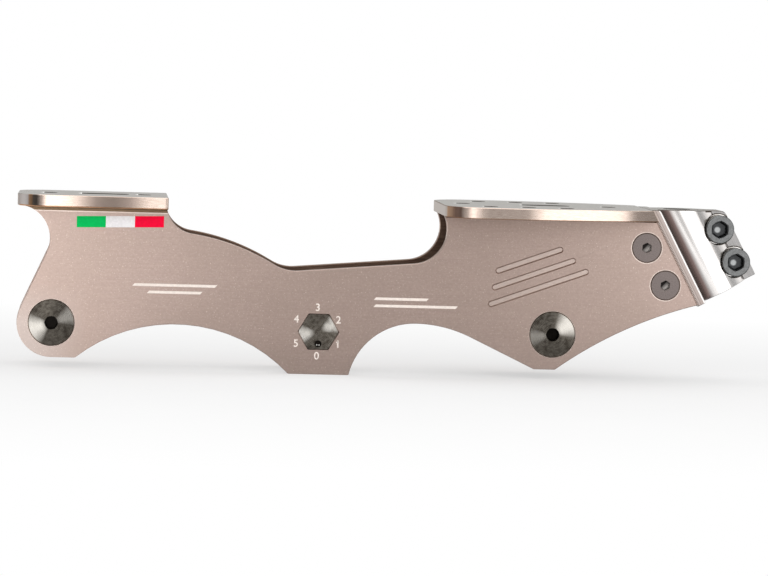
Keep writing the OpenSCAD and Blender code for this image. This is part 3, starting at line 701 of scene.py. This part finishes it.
# Printed marks on the near wall, in millimetres; digits by the angle in degrees at which each stands,
# and a digit's height also as a share of its font's size
INK_T = 0.04
DIGIT_H = 2.5
DIGIT_SHARE = 0.7
DIGIT_BOLD = 0.045
DIGIT_R = 8.25
DIGIT_SHIFT = -0.42
DIGITS = ((3, 90), (2, 30), (1, -30), (0, -90), (5, -150), (4, 150))
FLAG_X = -63.4
FLAG_Z = -47.93
FLAG_LEN = 0.65
FLAG_H = 0.5
FLAG_RISE = 0.6
STRIP_X = -152.2
STRIP_Z = -9.05
STRIP_RISE = 0.024
STRIP_LEN = 9.8
STRIP_H = 3.8
STRIP_COLOURS = (("strip_green", srgb(0, 198, 97)), ("strip_white", srgb(247, 246, 248)),
                 ("strip_red", srgb(255, 4, 60)))
PINSTRIPE_H = 0.9
PINSTRIPE_SLANT = 0.8
PINSTRIPES = (("heel_line_upper", -133.0, -29.8, 28.0), ("heel_line_lower", -128.0, -32.2, 18.0),
              ("middle_line_upper", -51.0, -32.6, 18.0), ("middle_line_lower", -51.0, -35.0, 28.0))


def in_scene(name, data, material):
    piece = bpy.data.objects.new(name, data)
    bpy.context.scene.collection.objects.link(piece)
    data.materials.append(material)
    return piece


def new_mesh(name, points, faces):
    mesh = bpy.data.meshes.new(name)
    mesh.from_pydata(points, [], faces)
    return mesh


def patch(name, x, z, length, height, slant, rise, material):
    """Thin printed bar on the near wall, from its left end and its middle height there.

    Slant is how far its top stands ahead of its foot, and rise is its slope along the wall.
    """
    half = height / 2
    up = rise * length
    foot = [(x, z - half), (x + length, z - half + up)]
    head = [(x + length + slant, z + half + up), (x + slant, z + half)]
    points = []
    for y in (NEAR_FACE - INK_T, NEAR_FACE + INK_T):
        points += [Vector((corner_x, y, corner_z)) * MM for corner_x, corner_z in foot + head]
    faces = [(0, 1, 2, 3), (7, 6, 5, 4)]
    faces += [((i + 1) % 4, i, i + 4, (i + 1) % 4 + 4) for i in range(4)]
    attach(in_scene(name, new_mesh(name, points, faces), material), "frame")


def dial_digit(digit, angle, material):
    """One digit of the ring around the middle axle, upright on the near wall."""
    name = f"dial_{digit}"
    text = bpy.data.curves.new(name, "FONT")
    text.body = str(digit)
    text.align_x = "CENTER"
    text.align_y = "CENTER"
    text.size = DIGIT_H / DIGIT_SHARE * MM
    text.offset = DIGIT_BOLD * MM
    text.extrude = INK_T * MM
    piece = in_scene(name, text, material)
    turn = math.radians(angle)
    at = MIDDLE_SEAT + DIGIT_R * Vector((math.cos(turn), 0.0, math.sin(turn)))
    piece.location = Vector((at.x + DIGIT_SHIFT, NEAR_FACE, at.z)) * MM
    piece.rotation_euler = (math.pi / 2, 0.0, 0.0)
    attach(piece, "frame")


def marks():
    """Three-colour strip, plain lines, and the dial with the flag of its 1."""
    for i, (name, colour) in enumerate(STRIP_COLOURS):
        ahead = i * STRIP_LEN
        patch(name, STRIP_X + ahead, STRIP_Z + STRIP_RISE * ahead, STRIP_LEN, STRIP_H, 0.0, STRIP_RISE,
              printed(name, colour))
    cream = printed("cream_ink", srgb(252, 240, 231))
    for name, x, z, length in PINSTRIPES:
        patch(name, x, z, length, PINSTRIPE_H, PINSTRIPE_SLANT, 0.0, cream)
    for digit, angle in DIGITS:
        dial_digit(digit, angle, cream)
    patch("dial_1_flag", FLAG_X, FLAG_Z, FLAG_LEN, FLAG_H, 0.0, FLAG_RISE, cream)


# Height of the floor, in metres: it lies at the frame's lowest point
FLOOR_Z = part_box("frame_body")[0].z

# Screen around the near side: places of its upright edges in metres, and how bright each is
SCREEN = ((-0.40, 0.40, 1.2), (-0.38, 0.02, 1.2), (-0.37, -0.04, 0.8), (-0.35, -0.09, 0.35),
          (-0.325, -0.125, 0.05), (-0.26, -0.19, 0.05), (-0.235, -0.21, 1.4), (-0.20, -0.23, 2.5),
          (-0.157, -0.245, 2.5), (-0.149, -0.246, 0.1), (-0.133, -0.248, 0.05), (-0.127, -0.249, 1.9),
          (-0.115, -0.25, 1.9), (-0.105, -0.25, 0.7), (-0.03, -0.25, 0.62), (0.0, -0.25, 0.5),
          (0.055, -0.25, 0.58), (0.085, -0.25, 1.95), (0.235, -0.245, 1.95), (0.268, -0.224, 1.8),
          (0.288, -0.208, 0.35), (0.35, -0.16, 0.35), (0.40, 0.0, 1.0), (0.42, 0.40, 1.0))
SCREEN_H = 0.35


def reflector():
    """Screen around the near side that shows in reflections only, white and grey by turns."""
    columns = len(SCREEN)
    points = [(x, y, z) for z in (FLOOR_Z, SCREEN_H) for x, y, _ in SCREEN]
    faces = [(i, i + 1, i + 1 + columns, i + columns) for i in range(columns - 1)]
    mesh = new_mesh("reflector", points, faces)
    shade = mesh.color_attributes.new("level", "FLOAT_COLOR", "POINT")
    for i, point in enumerate(shade.data):
        level = SCREEN[i % columns][2]
        point.color = (level, level, level, 1.0)
    g = Graph("reflector")
    level = g.node("ShaderNodeVertexColor", {"layer_name": "level"}).outputs["Color"]
    glow = g.node("ShaderNodeEmission", Color=level, Strength=1.0)
    g.node("ShaderNodeOutputMaterial", Surface=glow.outputs[0])
    piece = in_scene("reflector", mesh, g.material)
    piece.visible_camera = False
    piece.visible_shadow = False
    piece.visible_diffuse = False


# Floor, with half its width in metres and the other places in millimetres. Reach is the distance from the
# frame's middle, where a step along the frame counts for less than one across. In reflections the floor
# brightens with reach and glows under the heel. The camera sees its matt part, which holds the shadow,
# fade to plain white with reach.
FLOOR_HALF = 6.0
REACH_ALONG = 0.45
DIM_REACH = (70.0, 200.0)
DIM_LEVEL = (0.5, 1.3)
HEEL_GLOW_X = (-150.0, -70.0)
HEEL_GLOW = (1.2, 0.0)
WHITE_REACH = (20.0, 320.0)
WHITE_SHARE = (0.55, 1.0)

# World: how far back a direction points where the dim room ends and where white is full, the levels there,
# and the level of the light on matt surfaces
ROOM_END = (-0.3, 0.1)
ROOM_LEVEL = (0.3, 1.0)
FILL_LEVEL = 0.5
WHITE = (1.0, 1.0, 1.0, 1.0)


def rays(g):
    """1 for camera rays, and 1 for reflections and glass."""
    path = g.node("ShaderNodeLightPath").outputs
    return path["Is Camera Ray"], g.any(path["Is Glossy Ray"], path["Is Transmission Ray"])


def floor():
    """White floor that keeps the frame's shadow and is dimmer in reflections close to the frame."""
    g = Graph("floor")
    at = g.place((FRAME_MIDDLE_X, 0.0, 0.0))
    x, y, _ = g.split(at)
    grain = g.noise(at, (0.02, 0.02, 0.02), detail=2.0)
    matt = g.node("ShaderNodeBsdfDiffuse", Color=g.mix(grain, srgb(244, 244, 244), srgb(250, 250, 250)))
    reach = g.length(g.math("MULTIPLY", x, REACH_ALONG), y)
    camera_ray, mirrored = rays(g)
    near = g.math("ADD", g.span(reach, *DIM_REACH, *DIM_LEVEL), g.span(x, *HEEL_GLOW_X, *HEEL_GLOW))
    white = g.node("ShaderNodeEmission", Color=WHITE, Strength=g.blend(mirrored, 1.0, near))
    both = g.node("ShaderNodeMixShader")
    g.put(both.inputs[0], g.any(g.all(camera_ray, g.span(reach, *WHITE_REACH, *WHITE_SHARE)), mirrored))
    g.put(both.inputs[1], matt.outputs[0])
    g.put(both.inputs[2], white.outputs[0])
    g.node("ShaderNodeOutputMaterial", Surface=both.outputs[0])
    half = FLOOR_HALF
    points = [(x, y, FLOOR_Z) for x, y in ((-half, -half), (half, -half), (half, half), (-half, half))]
    piece = in_scene("floor", new_mesh("floor", points, [(0, 1, 2, 3)]), g.material)


def world():
    """White behind the frame, a dim room on the camera's side."""
    made = bpy.data.worlds.new("studio")
    made.use_nodes = True
    bpy.context.scene.world = made
    g = Graph("studio", made.node_tree)
    back = g.split(g.node("ShaderNodeTexCoord").outputs["Generated"])[1]
    strength = g.blend(g.any(*rays(g)), FILL_LEVEL, g.span(back, *ROOM_END, *ROOM_LEVEL))
    light = g.node("ShaderNodeBackground", Color=WHITE, Strength=strength)
    g.node("ShaderNodeOutputWorld", Surface=light.outputs[0])


# Lamps, in metres. The side boxes stand in front of the near wall and face it level: azimuth in degrees,
# with right positive, width and brightness. Only the top box, above the frame, shows in reflections.
SIDE_BOXES = (("left_box", -17.0, 0.26, 3.4), ("right_box", 27.0, 0.34, 3.0))
SIDE_BOX_AWAY = 0.8
SIDE_BOX_Z = 0.25
SIDE_BOX_H = 0.6
TOP_BOX_Y = 0.15
TOP_BOX_Z = 1.1
TOP_BOX_SIZE = (1.2, 0.9)
TOP_BOX_LEVEL = 0.95


def softbox(name, at, aim, size, level, mirrored):
    """Area light whose level is the brightness that a reflection of it would show."""
    lamp = bpy.data.lights.new(name, "AREA")
    lamp.shape = "RECTANGLE"
    lamp.size, lamp.size_y = size
    lamp.energy = level * math.pi * size[0] * size[1]
    piece = bpy.data.objects.new(name, lamp)
    bpy.context.scene.collection.objects.link(piece)
    piece.location = at
    piece.rotation_euler = (aim - at).to_track_quat("-Z", "Y").to_euler()
    piece.visible_camera = False
    piece.visible_glossy = mirrored


def lamps():
    """Two soft boxes in front of the near wall and one overhead."""
    middle = FRAME_MIDDLE_X * MM
    for name, azimuth, width, level in SIDE_BOXES:
        turn = math.radians(azimuth)
        aim = Vector((middle, 0.0, SIDE_BOX_Z))
        at = aim + SIDE_BOX_AWAY * Vector((math.sin(turn), -math.cos(turn), 0.0))
        softbox(name, at, aim, (width, SIDE_BOX_H), level, mirrored=False)
    top = Vector((middle, TOP_BOX_Y, TOP_BOX_Z))
    softbox("top_box", top, Vector((middle, 0.0, 0.0)), TOP_BOX_SIZE, TOP_BOX_LEVEL, mirrored=True)


# Camera, from the photograph's perspective: its aim on the near wall in millimetres, and angles in degrees
CAMERA_AIM = Vector((-47.6, NEAR_FACE, -28.9))
CAMERA_DISTANCE = 1301.8
CAMERA_AZIMUTH = 4.29
CAMERA_ELEVATION = 3.416
CAMERA_ROLL = 1.686
CAMERA_LENS = 179.55
CAMERA_SENSOR = 36.0


def camera():
    """Long lens, a little above the frame and to the left of its middle, as in the photograph."""
    lens = bpy.data.cameras.new("camera")
    lens.sensor_fit = "HORIZONTAL"
    lens.sensor_width = CAMERA_SENSOR
    lens.lens = CAMERA_LENS
    piece = bpy.data.objects.new("camera", lens)
    bpy.context.scene.collection.objects.link(piece)
    azimuth, elevation, roll = (math.radians(a) for a in (CAMERA_AZIMUTH, CAMERA_ELEVATION, CAMERA_ROLL))
    turn = Matrix.Rotation(-azimuth, 4, "Z") @ Matrix.Rotation(math.pi / 2 - elevation, 4, "X")
    turn = turn @ Matrix.Rotation(roll, 4, "Z")
    back = turn @ Vector((0.0, 0.0, CAMERA_DISTANCE))
    piece.matrix_world = Matrix.Translation((CAMERA_AIM + back) * MM) @ turn
    bpy.context.scene.camera = piece


finishes()
marks()
floor()
world()
lamps()
reflector()
camera()
bpy.context.scene.view_settings.view_transform = "Standard"
